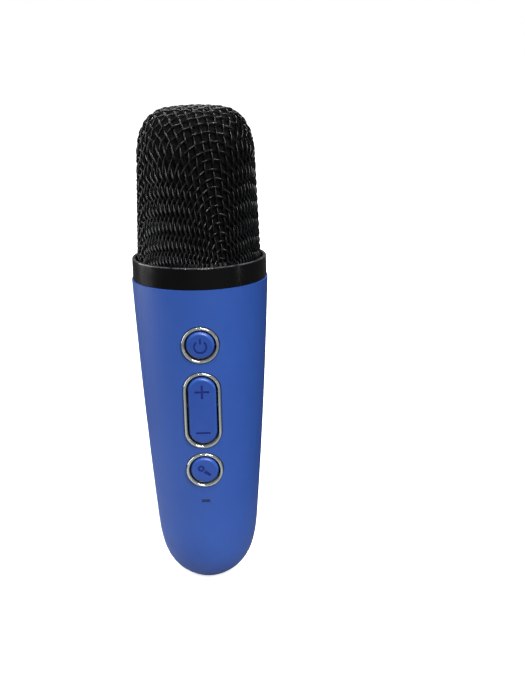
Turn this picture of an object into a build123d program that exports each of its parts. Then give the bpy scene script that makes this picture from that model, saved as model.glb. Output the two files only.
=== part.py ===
"""Hand-held wireless karaoke microphone: wire-mesh head, black collar, tapered blue handle
with three ringed controls, and the board, cell and capsule inside.

Millimetres. +Z runs up the handle to the head, -Y is the front with the controls, and the
origin is the middle of the small flat at the bottom of the handle.
"""
import os
from math import cos, radians, sin, tan

from build123d import *

os.makedirs("parts", exist_ok=True)

# Handle: a long shallow taper that closes in a rounded end with a small flat
handle_top = 95.5
top_radius = 20.05
mid_height = 55.5
mid_radius = 18.02
knee_height = 20.5
knee_radius = 15.49
knee_slope = 0.082
knee_pull = 9.6
foot_radius = 4.6
foot_pull = 9.5
foot_rise = 24.0
wall = 1.8

# Control panel: the flat that touches the handle's front at the middle of the volume rocker
panel_height = 59.5
panel_radius = 18.24
panel_tilt = 3.27
power_at = 20.0
voice_at = -18.8
volume_at = 0.0
indicator_at = -29.0
pad_depth = 3.6
pad_wide = 16.0
pad_tall = 55.0
slot_wide = 2.4
slot_tall = 1.0

# Controls, measured in the panel: x across, y up, z outwards
pocket_radius = 5.62
ring_radius = 5.36
ring_wall = 0.76
ring_seat = -1.7
ring_proud = 0.3
ring_round = 0.34
cap_radius = 4.07
cap_proud = 0.5
cap_round = 1.0
flange_radius = 5.1
flange_back = -4.4
flange_thick = 0.7
stem_radius = 1.5
rocker_span = 20.6
volume_span = 23.4
icon_depth = 0.15

# Volume rocker's pivot
pivot_depth = -4.4
pivot_radius = 0.8
pivot_clearance = 0.05
pivot_reach = 6.2
ear_at = 5.5
ear_wide = 1.6
ear_tall = 3.6
rocker_arm = 7.0
rocker_back = -2.6
rocker_foot_radius = 1.6

# Main board and its switches
board_top = -10.0
board_thick = 1.2
board_wide = 20.0
board_low = -33.0
board_high = 26.5
switch_size = 6.0
switch_tall = 3.5
switch_floor = 0.4
plunger_radius = 1.65
plunger_foot = 1.0
plunger_top = -5.0
stem_gap = 0.08
screw_radius = 0.8
screw_reach = 4.6
screw_head_radius = 1.7
screw_head_thick = 1.2
post_radius = 2.0
screws_at = [(x, y) for x in (-8.0, 8.0) for y in (-31.0, 24.0)]
lamp_tall = 0.6
guide_back = -3.4
chip_tall = 1.0
# Middle and size of each chip on the back of the board
chips = [(0, -8.0, 7.0, 7.0), (-5.0, -21.0, 5.0, 5.0), (5.5, 1.5, 4.0, 5.0)]

# Collar and head
collar_radius = 19.7
collar_top = 101.8
ledge_height = 98.0
rim_wall = 0.95
skirt_bottom = 89.5
skirt_radius = 17.9
skirt_bore = 16.2
ledge_bore = 14.8
grille_foot_radius = 18.3
grille_side_radius = 17.05
grille_side_top = 132.0
grille_crown_radius = 8.0
grille_crown_height = 144.6
grille_top = 145.1
grille_thick = 1.05
base_ring_radius = 17.0
base_ring_bore = 15.9
base_ring_tall = 4.4
foam_gap = 0.1
foam_bottom = 102.5
foam_bore = 12.5
foam_hollow = 26.0
foam_taper = 4

# Capsule, boot and carrier
carrier_radius = 15.8
carrier_thick = 2.0
carrier_stem_radius = 4.0
carrier_stem_tall = 12.5
carrier_bore = 2.2
cup_bottom = 110.0
cup_radius = 7.1
cup_tall = 7.0
boot_bottom = 111.2
boot_radius = 6.0
boot_tall = 6.8
boot_bore = 1.8
capsule_bottom = 112.2
capsule_radius = 4.9
capsule_tall = 6.4

# Cell, charging board and port
cell_radius = 7.0
cell_length = 50.0
cell_bottom = 30.0
cell_back = 4.2
tray_ribs = (34.0, 54.0, 74.0)
tray_rib_thick = 2.0
tray_wall = 1.3
cushion_size = (8.0, 30.0)
cushion_thick = 1.5
cushion_height = 57.0
charge_board_size = (12.0, 11.0)
charge_board_thick = 1.0
charge_board_height = 9.1
rest_bottom = 9.5
rest_size = (8.0, 20.0)
rest_thick = 3.0
port_clearance = 0.25
port_wall = 0.3
port_wide = 8.94
port_thick = 3.26
port_bottom = 0.5
port_top = 7.9
port_back = 1.4
tongue_size = (6.7, 0.7)
tongue_inset = 0.8
charge_board_face = port_thick / 2

panel = Plane(
    origin=(0, -panel_radius, panel_height),
    x_dir=(1, 0, 0),
    z_dir=(0, -cos(radians(panel_tilt)), -sin(radians(panel_tilt))),
)


def panel_at(depth, across=0.0, up=0.0):
    """The panel's plane, shifted outwards by depth and along the panel."""
    return panel.offset(depth).shift_origin(panel.offset(depth).from_local_coords(Vector(across, up, 0)))


def body_section(inset):
    """Half section of the handle, drawn this far inside its outer skin."""
    foot = Vector(foot_radius - 0.6 * inset, inset)
    knee = Vector(knee_radius - inset, knee_height)
    foot_turn = Vector(foot_pull * cos(radians(foot_rise)), foot_pull * sin(radians(foot_rise)))
    with BuildSketch(Plane.XZ) as section:
        with BuildLine():
            Line((0, foot.Y), foot)
            Bezier(foot, foot + foot_turn, knee - Vector(knee_slope, 1) * knee_pull, knee)
            ThreePointArc(knee, (mid_radius - inset, mid_height), (top_radius - inset, handle_top))
            Polyline((top_radius - inset, handle_top), (0, handle_top), (0, foot.Y))
        make_face()
    return section.sketch


def grille_section(inset, bottom):
    """Half section of the head, drawn this far inside the mesh's outer face."""
    narrowing = (grille_foot_radius - grille_side_radius) / (grille_side_top - ledge_height)
    foot_edge = grille_foot_radius - narrowing * (bottom - ledge_height)
    side = (grille_side_radius - inset, grille_side_top)
    crown = (grille_crown_radius, grille_crown_height - inset)
    shoulder_low = (grille_side_radius - 0.3 - inset, grille_side_top + 6.2 - 0.45 * inset)
    shoulder_high = (grille_crown_radius + 6.0 - 0.45 * inset, grille_crown_height - 0.75 - inset)
    with BuildSketch(Plane.XZ) as section:
        with BuildLine():
            Line((0, bottom), (foot_edge - inset, bottom))
            Line((foot_edge - inset, bottom), side)
            Bezier(side, shoulder_low, shoulder_high, crown)
            Bezier(crown, (grille_crown_radius / 2, grille_top - inset), (0, grille_top - inset))
            Line((0, grille_top - inset), (0, bottom))
        make_face()
    return section.sketch


def slot_sketch(plane, span, width):
    """A slot with round ends, standing along the panel."""
    with BuildSketch(plane) as slot:
        if span > width:
            SlotOverall(span, width, rotation=90)
        else:
            Circle(width / 2)
    return slot.sketch


def save(piece, name):
    piece.part.label = name
    export_step(piece.part, f"parts/{name}.step")


# Name, place up the panel, length and width of each control's cap
controls = [
    ("power", power_at, 2 * cap_radius),
    ("volume", volume_at, rocker_span),
    ("voice", voice_at, 2 * cap_radius),
]

# Solids that trim other pieces: the whole handle, and the space inside it
with BuildPart() as handle_envelope:
    revolve(body_section(0), axis=Axis.Z)

with BuildPart() as handle_space:
    revolve(body_section(wall + 0.1), axis=Axis.Z)


def ring_span(cap_span):
    """Outer length of the ring round a cap: the rocker's ring has its own measured length."""
    return volume_span if cap_span > 2 * cap_radius else 2 * ring_radius


# Front shell: half of the handle, with the thick panel behind the controls
with BuildPart() as front_shell:
    revolve(body_section(0), axis=Axis.Z)
    revolve(body_section(wall), axis=Axis.Z, mode=Mode.SUBTRACT)
    with BuildSketch(panel_at(-pad_depth)):
        Rectangle(pad_wide, pad_tall)
    extrude(amount=pad_depth)
    with BuildSketch(panel_at(board_top)):
        with Locations(*screws_at):
            Circle(post_radius)
    extrude(amount=-board_top)
    with BuildSketch(panel_at(pivot_depth - 1.7)):
        with Locations((-ear_at, 0), (ear_at, 0)):
            Rectangle(ear_wide, ear_tall)
    extrude(amount=2.6)
    add(handle_envelope.part, mode=Mode.INTERSECT)
    split(bisect_by=Plane.XZ, keep=Keep.TOP)
    for name, up, cap_span in controls:
        pocket_growth = 2 * (pocket_radius - ring_radius)
        pocket = slot_sketch(
            panel_at(ring_seat, up=up), ring_span(cap_span) + pocket_growth, 2 * pocket_radius
        )
        extrude(pocket, amount=4.0, mode=Mode.SUBTRACT)
        opening = slot_sketch(
            panel_at(-pad_depth - 0.5, up=up),
            ring_span(cap_span) - 2 * ring_wall,
            2 * (ring_radius - ring_wall),
        )
        extrude(opening, amount=4.0, mode=Mode.SUBTRACT)
    with BuildSketch(panel_at(-6.0, up=indicator_at)):
        Rectangle(slot_wide, slot_tall)
    extrude(amount=8.0, mode=Mode.SUBTRACT)
    with BuildSketch(panel_at(board_top)):
        with Locations(*screws_at):
            Circle(screw_radius + 0.05)
    extrude(amount=5.0, mode=Mode.SUBTRACT)
    pivot_bore = Plane(origin=panel_at(pivot_depth).origin, z_dir=(1, 0, 0))
    with BuildSketch(pivot_bore):
        Circle(pivot_radius + pivot_clearance)
    extrude(amount=7.0, both=True, mode=Mode.SUBTRACT)
    with BuildSketch(Plane.XY.offset(-1)):
        SlotOverall(port_wide + 2 * port_clearance, port_thick + 2 * port_clearance)
    extrude(amount=5.0, mode=Mode.SUBTRACT)
save(front_shell, "front_shell")

# Rear shell: the plain half, with a rest for the charging board
with BuildPart() as rear_shell:
    revolve(body_section(0), axis=Axis.Z)
    revolve(body_section(wall), axis=Axis.Z, mode=Mode.SUBTRACT)
    with BuildSketch(Plane.XY.offset(rest_bottom)):
        with Locations((0, charge_board_face + charge_board_thick + rest_size[1] / 2)):
            Rectangle(*rest_size)
    extrude(amount=rest_thick)
    add(handle_envelope.part, mode=Mode.INTERSECT)
    split(bisect_by=Plane.XZ, keep=Keep.BOTTOM)
    with BuildSketch(Plane.XY.offset(-1)):
        SlotOverall(port_wide + 2 * port_clearance, port_thick + 2 * port_clearance)
    extrude(amount=5.0, mode=Mode.SUBTRACT)
save(rear_shell, "rear_shell")

# A bright ring round each control
for name, up, cap_span in controls:
    with BuildPart() as bezel:
        outer = slot_sketch(panel_at(ring_seat, up=up), ring_span(cap_span), 2 * ring_radius)
        inner = slot_sketch(
            panel_at(ring_seat, up=up),
            ring_span(cap_span) - 2 * ring_wall,
            2 * (ring_radius - ring_wall),
        )
        extrude(outer, amount=ring_proud - ring_seat)
        extrude(inner, amount=ring_proud - ring_seat, mode=Mode.SUBTRACT)
        crown = bezel.faces().filter_by(GeomType.PLANE).sort_by(lambda f: panel.to_local_coords(f.center()).Z)
        fillet(crown[-1].edges(), radius=ring_round)
    save(bezel, f"{name}_bezel")


def round_button(up, icon):
    """A round cap with a flange behind the panel and a foot on its switch."""
    with BuildPart() as button:
        with BuildSketch(panel_at(-pad_depth - 0.1, up=up)):
            Circle(cap_radius)
        extrude(amount=pad_depth + 0.1 + cap_proud)
        cap = button.faces().sort_by(lambda f: panel.to_local_coords(f.center()).Z)[-1]
        fillet(cap.edges(), radius=cap_round)
        with BuildSketch(panel_at(flange_back, up=up)):
            Circle(flange_radius)
        extrude(amount=flange_thick)
        with BuildSketch(panel_at(plunger_top, up=up)):
            Circle(stem_radius)
        extrude(amount=flange_back - plunger_top)
        extrude(icon(panel_at(cap_proud - icon_depth, up=up)), amount=1.0, mode=Mode.SUBTRACT)
    return button


def power_icon(plane):
    """A broken circle with a bar through its gap."""
    with BuildSketch(plane) as icon:
        with Locations((0, -0.32)):
            Circle(2.0)
            Circle(1.5, mode=Mode.SUBTRACT)
        with Locations((0, 1.4)):
            Rectangle(2.1, 2.6, mode=Mode.SUBTRACT)
        with Locations((0, 1.33)):
            SlotOverall(1.75, 0.5, rotation=90)
    return icon.sketch


def voice_icon(plane):
    """A hand-held microphone: an open ball and a tapered grip."""
    with BuildSketch(plane) as icon:
        with Locations((-1.05, 0.75)):
            Circle(1.0)
            Circle(0.42, mode=Mode.SUBTRACT)
        with BuildLine():
            Polyline((-0.35, -0.62), (0.38, 0.18), (1.95, -1.2), (1.45, -1.75), close=True)
        make_face()
    return icon.sketch


save(round_button(power_at, power_icon), "power_button")
save(round_button(voice_at, voice_icon), "voice_button")

# Volume rocker: a long cap that tips on two pins, with a foot over each switch
with BuildPart() as volume_rocker:
    body = slot_sketch(panel_at(rocker_back), rocker_span, 2 * cap_radius)
    extrude(body, amount=cap_proud - rocker_back)
    cap = volume_rocker.faces().sort_by(lambda f: panel.to_local_coords(f.center()).Z)[-1]
    fillet(cap.edges(), radius=cap_round)
    with BuildSketch(panel_at(pivot_depth - 1.0)):
        Rectangle(2 * cap_radius, 4.0)
    extrude(amount=2.0 - pivot_depth + rocker_back)
    with BuildSketch(panel_at(plunger_top)):
        with Locations((0, -rocker_arm), (0, rocker_arm)):
            Circle(rocker_foot_radius)
    extrude(amount=rocker_back - plunger_top)
    with BuildSketch(Plane(origin=panel_at(pivot_depth).origin, z_dir=(1, 0, 0))):
        Circle(pivot_radius)
    extrude(amount=pivot_reach, both=True)
    with BuildSketch(panel_at(cap_proud - icon_depth)):
        with Locations((0, 6.0)):
            Rectangle(4.2, 0.62)
            Rectangle(0.62, 4.2)
        with Locations((0, -6.7)):
            Rectangle(4.2, 0.55)
    extrude(amount=1.0, mode=Mode.SUBTRACT)
save(volume_rocker, "volume_rocker")

# Main board, its four switches and their plungers
with BuildPart() as main_board:
    with BuildSketch(panel_at(board_top - board_thick, up=(board_low + board_high) / 2)):
        RectangleRounded(board_wide, board_high - board_low, 1.5)
    extrude(amount=board_thick)
    with BuildSketch(panel_at(board_top - board_thick)):
        with Locations(*screws_at):
            Circle(screw_radius + 0.3)
    extrude(amount=board_thick, mode=Mode.SUBTRACT)
save(main_board, "main_board")

switches = [
    ("power", power_at, plunger_top),
    ("volume_up", rocker_arm, plunger_top - stem_gap),
    ("volume_down", -rocker_arm, plunger_top - stem_gap),
    ("voice", voice_at, plunger_top),
]
for name, up, top in switches:
    with BuildPart() as switch:
        with BuildSketch(panel_at(board_top, up=up)):
            RectangleRounded(switch_size, switch_size, 0.4)
        extrude(amount=switch_tall)
        with BuildSketch(panel_at(board_top + switch_floor, up=up)):
            Circle(plunger_radius + 0.06)
        extrude(amount=switch_tall, mode=Mode.SUBTRACT)
    save(switch, f"{name}_switch")
    with BuildPart() as plunger:
        with BuildSketch(panel_at(board_top + plunger_foot, up=up)):
            Circle(plunger_radius)
        extrude(amount=top - board_top - plunger_foot)
    save(plunger, f"{name}_plunger")

with BuildPart() as board_screws:
    with BuildSketch(panel_at(board_top - board_thick)):
        with Locations(*screws_at):
            Circle(screw_head_radius)
    extrude(amount=-screw_head_thick)
    with BuildSketch(panel_at(board_top - board_thick)):
        with Locations(*screws_at):
            Circle(screw_radius)
    extrude(amount=board_thick + screw_reach)
    with BuildSketch(panel_at(board_top - board_thick - screw_head_thick)):
        with Locations(*screws_at):
            Rectangle(1.8, 0.4)
            Rectangle(0.4, 1.8)
    extrude(amount=0.6, mode=Mode.SUBTRACT)
save(board_screws, "board_screws")

# Indicator: a lamp on the board and a clear light guide behind the slot in the shell
with BuildPart() as indicator_led:
    with BuildSketch(panel_at(board_top, up=indicator_at)):
        Rectangle(1.6, 0.8)
    extrude(amount=lamp_tall)
save(indicator_led, "indicator_led")

with BuildPart() as indicator_lens:
    with BuildSketch(panel_at(board_top + lamp_tall + 0.2, up=indicator_at)):
        Rectangle(slot_wide - 0.1, slot_tall - 0.1)
    extrude(amount=-board_top - lamp_tall - 0.8)
    with BuildSketch(panel_at(guide_back, up=indicator_at)):
        Rectangle(4.0, 3.0)
    extrude(amount=1.0)
save(indicator_lens, "indicator_lens")

# Parts on the back of the board
with BuildPart() as radio_shield:
    with BuildSketch(panel_at(board_top - board_thick, up=14.0)):
        RectangleRounded(12.0, 13.0, 0.6)
    extrude(amount=-1.8)
save(radio_shield, "radio_shield")

with BuildPart() as board_chips:
    with BuildSketch(panel_at(board_top - board_thick)):
        for across, up, wide, tall in chips:
            with Locations((across, up)):
                Rectangle(wide, tall)
    extrude(amount=-chip_tall)
save(board_chips, "board_chips")

with BuildPart() as battery_connector:
    with BuildSketch(panel_at(board_top - board_thick, across=-7.0, up=2.0)):
        Rectangle(5.0, 4.5)
    extrude(amount=-3.0)
save(battery_connector, "battery_connector")

# Cell, its cradle in the rear shell, and the pad between cell and board
cell_axis = Plane(origin=(0, cell_back, cell_bottom))
with BuildPart() as battery_cell:
    with BuildSketch(cell_axis):
        Circle(cell_radius)
    extrude(amount=cell_length)
    fillet(battery_cell.edges(), radius=0.6)
save(battery_cell, "battery_cell")

with BuildPart() as battery_tray:
    for height in tray_ribs:
        with BuildSketch(Plane.XY.offset(height)):
            Circle(mid_radius + 1.0)
        extrude(amount=tray_rib_thick)
    add(handle_space.part, mode=Mode.INTERSECT)
    with BuildSketch(cell_axis.offset(1.0)):
        Circle(cell_radius + tray_wall)
    extrude(amount=cell_length - 2.0)
    with BuildSketch(cell_axis.offset(-1.0)):
        Circle(cell_radius + 0.1)
    extrude(amount=cell_length + 2.0, mode=Mode.SUBTRACT)
    split(bisect_by=Plane(origin=cell_axis.origin, z_dir=(0, 1, 0)), keep=Keep.TOP)
save(battery_tray, "battery_tray")

with BuildPart() as battery_pad:
    cushion_at = (0, cell_back - cell_radius, cushion_height)
    with BuildSketch(Plane(origin=cushion_at, x_dir=(1, 0, 0), z_dir=(0, -1, 0))):
        Rectangle(*cushion_size)
    extrude(amount=cushion_thick)
save(battery_pad, "battery_pad")

# Charging board and its port, whose mouth opens in the bottom of the handle
with BuildPart() as charge_board:
    board_at = (0, charge_board_face, charge_board_height)
    with BuildSketch(Plane(origin=board_at, x_dir=(1, 0, 0), z_dir=(0, 1, 0))):
        Rectangle(*charge_board_size)
    extrude(amount=charge_board_thick)
save(charge_board, "charge_board")

with BuildPart() as charge_port:
    with BuildSketch(Plane.XY.offset(port_bottom)):
        SlotOverall(port_wide, port_thick)
    extrude(amount=port_top - port_bottom)
    with BuildSketch(Plane.XY.offset(port_bottom)):
        SlotOverall(port_wide - 2 * port_wall, port_thick - 2 * port_wall)
    extrude(amount=port_top - port_bottom - port_back, mode=Mode.SUBTRACT)
save(charge_port, "charge_port")

with BuildPart() as port_tongue:
    with BuildSketch(Plane.XY.offset(port_bottom + tongue_inset)):
        RectangleRounded(*tongue_size, 0.2)
    extrude(amount=port_top - port_bottom - port_back - tongue_inset)
save(port_tongue, "port_tongue")

# Collar: skirt inside the handle, ledge for the head, and a thin rim round the mesh's foot
with BuildPart() as collar_ring:
    with BuildSketch(Plane.XZ):
        with BuildLine():
            Polyline(
                (skirt_bore, skirt_bottom),
                (skirt_radius, skirt_bottom),
                (skirt_radius, handle_top),
                (collar_radius, handle_top),
                (collar_radius, collar_top),
                (collar_radius - rim_wall, collar_top),
                (collar_radius - rim_wall, ledge_height),
                (ledge_bore, ledge_height),
                (ledge_bore, handle_top),
                (skirt_bore, handle_top),
                close=True,
            )
        make_face()
    revolve(axis=Axis.Z)
    rim = collar_ring.edges().filter_by_position(Axis.Z, collar_top - 0.01, collar_top + 0.01)
    fillet(rim, radius=0.3)
    foot = collar_ring.edges().filter_by_position(Axis.Z, handle_top - 0.01, handle_top + 0.01)
    fillet(foot.sort_by(SortBy.RADIUS)[-1], radius=0.2)
save(collar_ring, "collar_ring")

# Mesh cup, as a thin plain cup; the ring that stiffens its foot; and the foam inside
with BuildPart() as grille_mesh:
    revolve(grille_section(0, ledge_height), axis=Axis.Z)
    revolve(grille_section(grille_thick, ledge_height), axis=Axis.Z, mode=Mode.SUBTRACT)
save(grille_mesh, "grille_mesh")

with BuildPart() as grille_base_ring:
    with BuildSketch(Plane.XY.offset(ledge_height)):
        Circle(base_ring_radius)
        Circle(base_ring_bore, mode=Mode.SUBTRACT)
    extrude(amount=base_ring_tall)
save(grille_base_ring, "grille_base_ring")

with BuildPart() as foam_windscreen:
    revolve(grille_section(grille_thick + foam_gap, foam_bottom), axis=Axis.Z)
    with BuildSketch(Plane.XY.offset(foam_bottom)):
        Circle(foam_bore)
    extrude(amount=foam_hollow, taper=foam_taper, mode=Mode.SUBTRACT)
save(foam_windscreen, "foam_windscreen")

# Capsule, its rubber boot and the carrier that stands on the collar's ledge
with BuildPart() as capsule_carrier:
    with BuildSketch(Plane.XY.offset(ledge_height)):
        Circle(carrier_radius)
    extrude(amount=carrier_thick)
    with BuildSketch(Plane.XY.offset(ledge_height)):
        Circle(carrier_stem_radius)
    extrude(amount=carrier_stem_tall)
    with BuildSketch(Plane.XY.offset(cup_bottom)):
        Circle(cup_radius)
    extrude(amount=cup_tall)
    with BuildSketch(Plane.XY.offset(boot_bottom)):
        Circle(boot_radius)
    extrude(amount=boot_tall + 1.0, mode=Mode.SUBTRACT)
    with BuildSketch(Plane.XY.offset(ledge_height)):
        Circle(carrier_bore)
    extrude(amount=boot_bottom - ledge_height + 1.0, mode=Mode.SUBTRACT)
save(capsule_carrier, "capsule_carrier")

with BuildPart() as capsule_boot:
    with BuildSketch(Plane.XY.offset(boot_bottom)):
        Circle(boot_radius)
    extrude(amount=boot_tall)
    with BuildSketch(Plane.XY.offset(capsule_bottom)):
        Circle(capsule_radius)
    extrude(amount=boot_tall, mode=Mode.SUBTRACT)
    with BuildSketch(Plane.XY.offset(boot_bottom)):
        Circle(boot_bore)
    extrude(amount=2.0, mode=Mode.SUBTRACT)
save(capsule_boot, "capsule_boot")

with BuildPart() as mic_capsule:
    with BuildSketch(Plane.XY.offset(capsule_bottom)):
        Circle(capsule_radius)
    extrude(amount=capsule_tall)
    fillet(mic_capsule.edges(), radius=0.3)
save(mic_capsule, "mic_capsule")


def lead_radii(points):
    """The largest arc that each corner's two runs leave room for."""
    radii = []
    for before, corner, after in zip(points, points[1:], points[2:]):
        incoming = corner - before
        outgoing = after - corner
        half_turn = radians(incoming.get_angle(outgoing)) / 2
        radii.append(0.45 * min(incoming.length, outgoing.length) / tan(half_turn))
    return radii


def leads(name, route, shifts, radius):
    """A pair of insulated wires that follow one route side by side."""
    wires = []
    for shift in shifts:
        points = [Vector(*point) + Vector(shift, 0, 0) for point in route]
        radii = lead_radii(points)
        print(name, "radii", [round(r, 1) for r in radii], "wire diameter", 2 * radius)
        with BuildPart() as wire:
            with BuildLine() as path:
                FilletPolyline(*points, radius=radii)
            with BuildSketch(Plane(origin=path.line @ 0, z_dir=path.line % 0)):
                Circle(radius)
            sweep(path=path.line)
        wires.append(wire.part)
    pair = Compound(label=name, children=wires)
    export_step(pair, f"parts/{name}.step")


leads(
    "capsule_leads",
    [(0, 0, 112.2), (0, 0.05, 103.6), (0, -1.6, 95.6), (0, -6.0, 90.0), (0, -7.95, 84.4)],
    (-0.9, 0.9),
    0.4,
)
leads(
    "battery_leads",
    [
        (-1.3, 4.2, 80.0),
        (-1.3, 4.2, 87.0),
        (-8.2, 0.6, 88.0),
        (-9.3, -3.0, 81.3),
        (-8.7, -4.5, 73.6),
        (-8.0, -5.3, 66.3),
    ],
    (0, 2.2),
    0.5,
)
leads(
    "charge_leads",
    [(0, 2.1, 14.6), (0, 2.3, 20.2), (0, -0.6, 25.0), (0, -4.7, 28.0)],
    (-2.5, 2.5),
    0.5,
)
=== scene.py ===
import math
import bpy
import numpy as np
from mathutils import Matrix, Vector


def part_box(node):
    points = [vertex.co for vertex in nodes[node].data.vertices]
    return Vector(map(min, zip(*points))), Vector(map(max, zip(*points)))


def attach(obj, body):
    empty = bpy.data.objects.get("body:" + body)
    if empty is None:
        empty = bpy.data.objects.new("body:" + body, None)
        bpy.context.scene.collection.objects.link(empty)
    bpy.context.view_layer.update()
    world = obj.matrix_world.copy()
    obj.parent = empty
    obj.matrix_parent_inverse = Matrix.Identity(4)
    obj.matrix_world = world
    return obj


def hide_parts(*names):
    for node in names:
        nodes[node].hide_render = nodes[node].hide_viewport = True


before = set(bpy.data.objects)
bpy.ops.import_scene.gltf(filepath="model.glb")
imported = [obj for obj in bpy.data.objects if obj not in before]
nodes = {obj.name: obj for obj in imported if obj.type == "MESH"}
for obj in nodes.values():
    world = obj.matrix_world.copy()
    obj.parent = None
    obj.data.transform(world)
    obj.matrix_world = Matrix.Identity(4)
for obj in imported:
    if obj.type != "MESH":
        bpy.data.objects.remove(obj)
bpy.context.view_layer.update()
mm = 0.001
handle = "microphone"  # the body that everything fixed rides on


def putMesh(name, points, faces, smooth=True):
    # points is an array in metres, faces a list of faces of any size
    mesh = bpy.data.meshes.new(name)
    mesh.from_pydata(points.tolist(), [], faces)
    mesh.polygons.foreach_set("use_smooth", np.full(len(mesh.polygons), smooth))
    mesh.validate()
    mesh.update()
    piece = bpy.data.objects.new(name, mesh)
    bpy.context.scene.collection.objects.link(piece)
    return piece


def tubeFaces(rows, columns):
    # quads between neighbouring rows of a grid of points whose last column joins its first
    r, c = np.meshgrid(np.arange(rows - 1), np.arange(columns), indexing="ij")
    r, c = r.ravel(), c.ravel()
    here, above, nextC = r * columns, (r + 1) * columns, (c + 1) % columns
    return np.stack([here + c, here + nextC, above + nextC, above + c], 1)


def poleFans(sides, base, first):
    # triangles that close a grid of rings: from its first ring to point first, from the ring at base to the next point
    spin = np.arange(sides)
    following = (spin + 1) % sides
    opening = np.stack([np.full(sides, first), following, spin], 1)
    closing = np.stack([np.full(sides, first + 1), base + spin, base + following], 1)
    return opening.tolist() + closing.tolist()


def spun(radius, height, sides):
    # a profile of radii and heights carried round the Z axis; it starts and ends on the axis
    angle = np.linspace(0, 2 * np.pi, sides, endpoint=False)
    ringR, ringZ = radius[1:-1], height[1:-1]
    points = np.stack([
        ringR[:, None] * np.cos(angle), ringR[:, None] * np.sin(angle), np.repeat(ringZ[:, None], sides, 1)
    ], -1).reshape(-1, 3)
    faces = tubeFaces(len(ringR), sides).tolist()
    faces += poleFans(sides, (len(ringR) - 1) * sides, len(points))
    return np.vstack([points, [0, 0, height[0]], [0, 0, height[-1]]]), faces


head = {  # mm: the mesh cup's outer face, as the CAD cup has it
    "footRadius": 18.3,
    "footHeight": 98.0,
    "sideRadius": 17.05,
    "sideHeight": 132.0,
    "crownRadius": 8.0,
    "crownHeight": 144.6,
    "topHeight": 145.1,
    "crownPull": (6.0, -0.75),  # how far the crown and the side run on before the shoulder bends
    "sidePull": (-0.3, 6.2),
    "pullLoss": 0.45,  # of both, for each millimetre inwards
    "runOn": 1.25,  # the side goes on past the foot, and the wires are cut there
}


def headOutline(inset, fine=400):
    # radius and height from the pole down to the foot: a flat crown, a round shoulder, a straight taper
    t = np.linspace(0, 1, fine)[:, None]
    h = head
    top = np.array([0, h["topHeight"] - inset])
    crown = np.array([h["crownRadius"], h["crownHeight"] - inset])
    side = np.array([h["sideRadius"] - inset, h["sideHeight"]])
    high = crown + h["crownPull"] - [h["pullLoss"] * inset, 0]
    low = side + h["sidePull"] - [0, h["pullLoss"] * inset]
    foot = np.array([h["footRadius"] - inset, h["footHeight"]])
    cap = (1 - t) ** 2 * top + 2 * (1 - t) * t * np.array([crown[0] / 2, top[1]]) + t**2 * crown
    shoulder = (1 - t) ** 3 * crown + 3 * (1 - t) ** 2 * t * high + 3 * (1 - t) * t**2 * low + t**3 * side
    taper = side + t * (foot - side) * h["runOn"]
    outline = np.vstack([cap, shoulder[1:], taper[1:]])
    along = np.r_[0, np.cumsum(np.hypot(*np.diff(outline, axis=0).T))]
    return along, outline[:, 0], outline[:, 1]


viewpoint = {
    "place": (0.01084, -0.31835, 0.16348),  # metres, in front of the head and a little above it
    "downTilt": 16.0,  # degrees below level
    "roll": -1.13,
    "turn": -1.3,
    "lens": 56.4,  # on a 36 mm sensor
}


def placeCamera():
    camera = bpy.data.objects.new("camera", bpy.data.cameras.new("camera"))
    camera.data.lens = viewpoint["lens"]
    camera.data.sensor_width = 36.0
    camera.data.clip_start = 0.01
    turn = Matrix.Rotation(math.radians(viewpoint["turn"]), 4, "Z")
    tilt = Matrix.Rotation(math.radians(90.0 - viewpoint["downTilt"]), 4, "X")
    roll = Matrix.Rotation(math.radians(viewpoint["roll"]), 4, "Z")
    camera.matrix_world = Matrix.Translation(viewpoint["place"]) @ turn @ tilt @ roll
    bpy.context.scene.collection.objects.link(camera)
    bpy.context.scene.camera = camera


studio = {
    "backdrop": 1.0,  # what the camera sees past the floor
    "fill": 0.07,  # what the surfaces see
    "floorGlow": 0.0,  # light that the floor gives off, as a lit table does
    "floorSeen": 0.7,
    # the floor as the object sees it: a painted pool of light under the handle, painted dark further off to keep the
    # black parts black
    "floorPaintedPool": (0.40, 0.40, 0.40),
    "floorPoolCentre": (-0.05, -0.05, 0.0),  # the painted pool of light lies in front and to the left
    "floorPaintedDark": (0.02, 0.02, 0.02),
    "floorFade": (0.04, 0.16),  # metres from the handle
    "sunPower": 3.7,
    "sunSoftness": 30.0,  # degrees across
    "sunHeight": 42.0,
    "sunSide": 22.0,  # degrees round from the front, negative to the left
    "aim": (0, 0, 0.08),  # every light points here
    "floorRadius": 8.0,
    "floorThick": 0.01,
    "floorRough": 0.9,
    "floorPaper": ((0.86, 0.86, 0.86), (0.90, 0.90, 0.90)),
}
softboxes = {  # side and height in degrees round the head, distance and size in metres, power in watts
    "leftBox": {"side": -104.0, "height": 12.0, "away": 0.6, "size": (0.42, 0.6), "power": 4.2},
    "rightStrip": {"side": 70.0, "height": 4.0, "away": 0.6, "size": (0.03, 0.3), "power": 0.16},
    "lampA": {"side": -42.0, "height": 66.0, "away": 0.6, "size": (0.024, 0.024), "power": 0.8},
    "lampB": {"side": 8.0, "height": 66.0, "away": 0.6, "size": (0.024, 0.024), "power": 0.8},
    "lampC": {"side": 52.0, "height": 62.0, "away": 0.6, "size": (0.024, 0.024), "power": 0.5},
    "backBox": {"side": 172.0, "height": 50.0, "away": 0.7, "size": (0.4, 0.3), "power": 2.6},
}


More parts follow.
